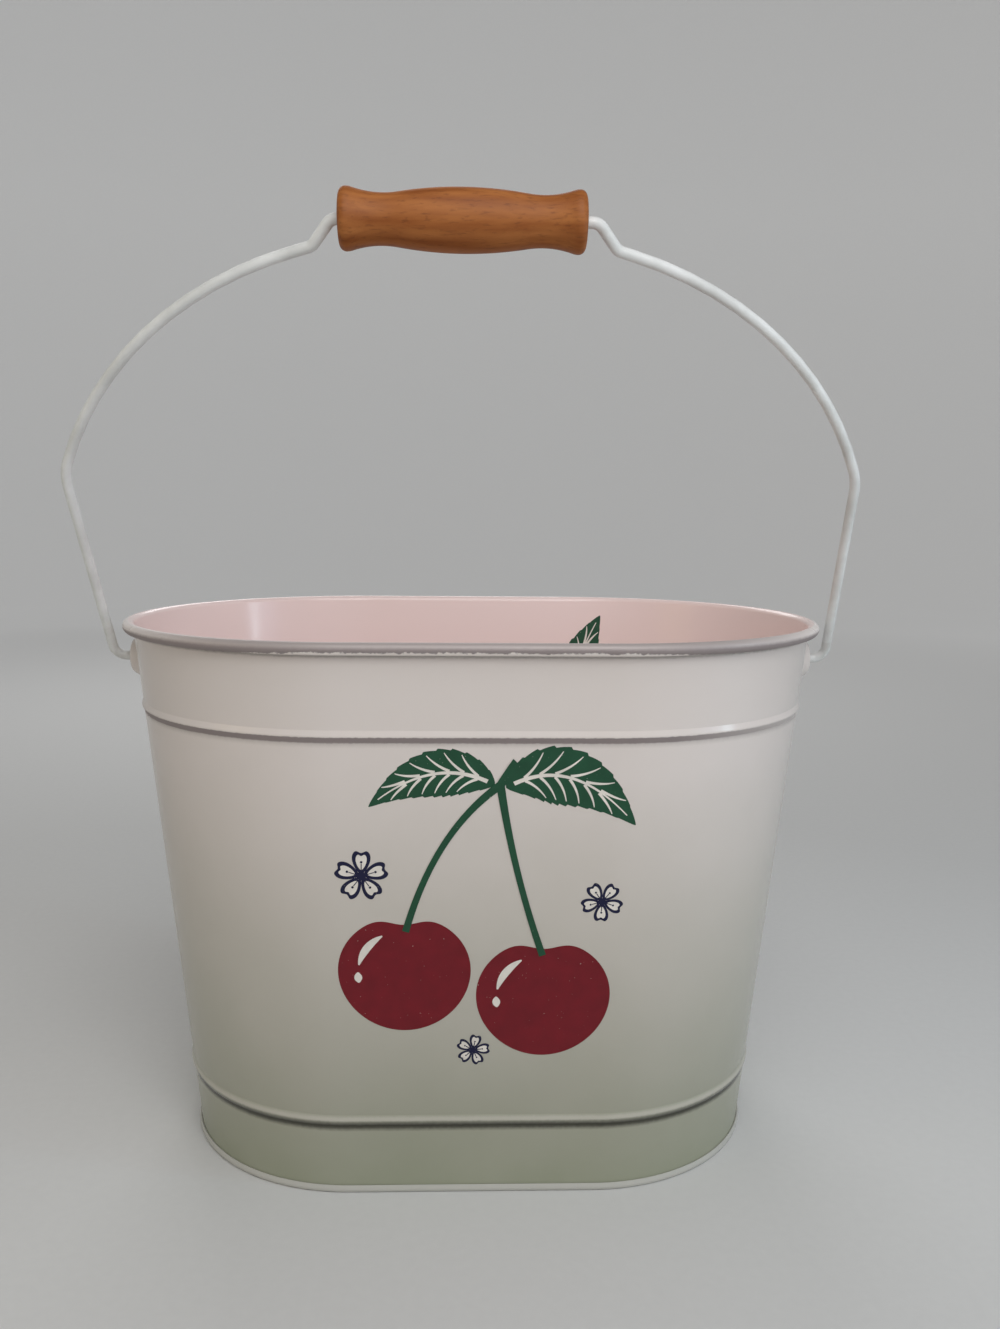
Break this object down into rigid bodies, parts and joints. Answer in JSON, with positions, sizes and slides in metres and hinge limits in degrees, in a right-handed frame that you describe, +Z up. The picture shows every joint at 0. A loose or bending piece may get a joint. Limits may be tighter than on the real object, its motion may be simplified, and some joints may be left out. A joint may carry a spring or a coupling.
{
  "type": "oval metal bucket",
  "caption": "Tapering oval sheet-metal bucket with a rolled rim, swaged beads and a seamed foot, carried by a swinging wire bail with a turned wooden grip.",
  "frame": {"origin": "middle of the foot's underside, on the surface that the bucket stands on", "axes": "+Z up, +X along the oval towards the right ear, +Y towards the back, so the bail rests leaning to -Y"},
  "size_m": [0.3009, 0.1997, 0.359],
  "materials": {
    "body_paint": "satin off-white paint on sheet steel, worn at the edges",
    "bare_wire": "plain drawn wire",
    "bail_paint": "satin white paint on wire, scuffed",
    "turned_wood": "turned hardwood, varnished"
  },
  "bodies": {
    "bucket": {"side_wall": "body_paint", "bottom_pan": "body_paint", "rim_wire": "bare_wire", "left_ear": "body_paint", "right_ear": "body_paint"},
    "bail": {"bail_wire": "bail_paint"},
    "grip": {"grip": "turned_wood"}
  },
  "joints": [
    {"name": "bail_swing", "type": "hinge", "parent": "bucket", "child": "bail", "pos_m": [0, 0, 0.1964], "axis": [1, 0, 0], "range_deg": [-184, 120]},
    {"name": "grip_spin", "type": "hinge", "parent": "bail", "child": "grip", "pos_m": [-0.0048, -0.09539, 0.34905], "axis": [1, 0, 0], "continuous": true}
  ]
}
